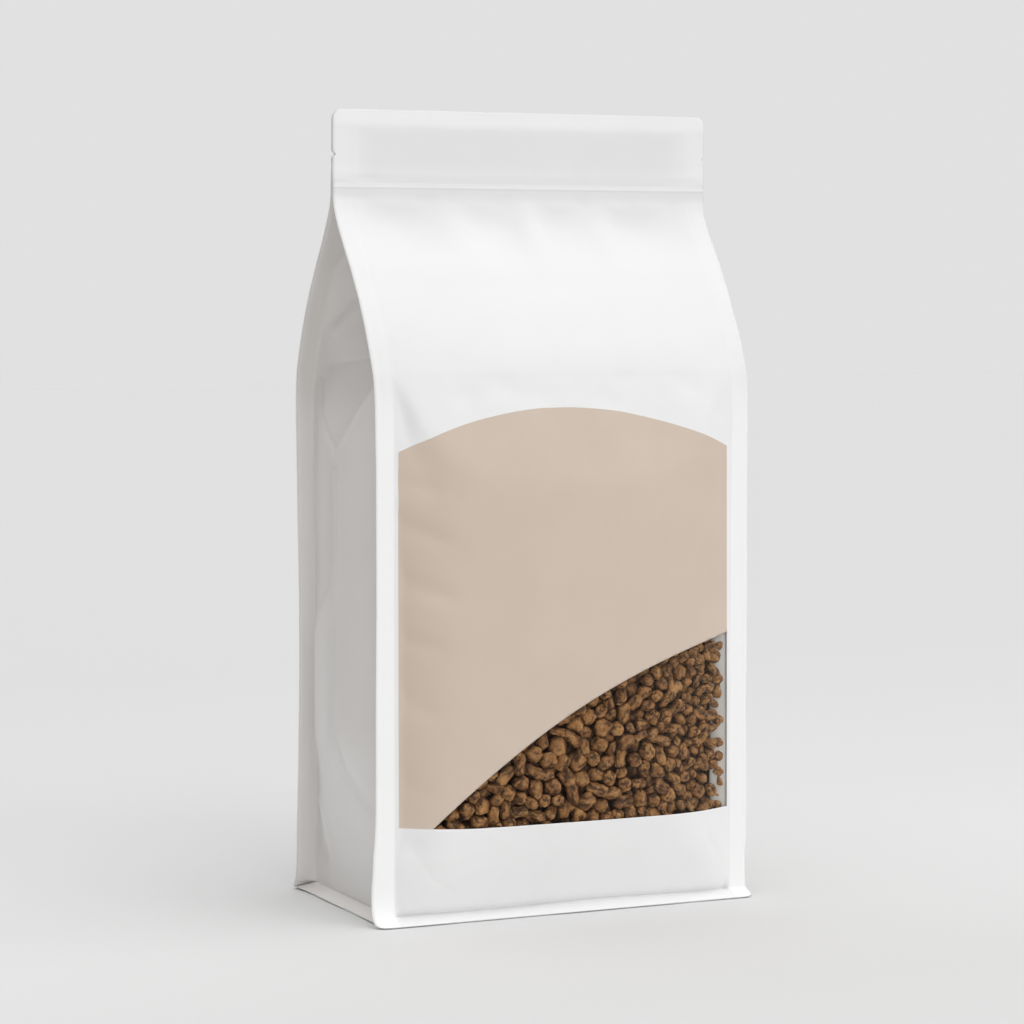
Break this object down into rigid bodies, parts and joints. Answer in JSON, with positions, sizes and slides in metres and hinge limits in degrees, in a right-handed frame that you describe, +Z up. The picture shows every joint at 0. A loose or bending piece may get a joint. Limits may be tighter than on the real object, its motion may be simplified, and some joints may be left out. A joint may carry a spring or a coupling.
{
  "type": "pet food bag",
  "caption": "Flat-bottom side-gusset pouch of matt white film with zip, notched header and a clear window low on the front showing kibble.",
  "frame": {"origin": "on the floor plane at the centre of the base", "axes": "+Z up through the bag to the header, -Y out of the front panel with the window, +X to the right seen from the front"},
  "size_m": [0.22, 0.1438, 0.424],
  "materials": {
    "film": "matt white laminate with a flat beige print field",
    "clear_film": "clear glossy film",
    "zip": "translucent polyethylene",
    "kibble": "dry extruded kibble, brown, matt"
  },
  "bodies": {
    "root": {"front_panel": "film", "back_panel": "film", "left_gusset": "film", "right_gusset": "film", "bottom_panel": "film", "window_film": "clear_film", "zip_groove_strip": "zip", "zip_rib_strip": "zip", "kibble_fill": "kibble"}
  },
  "joints": []
}
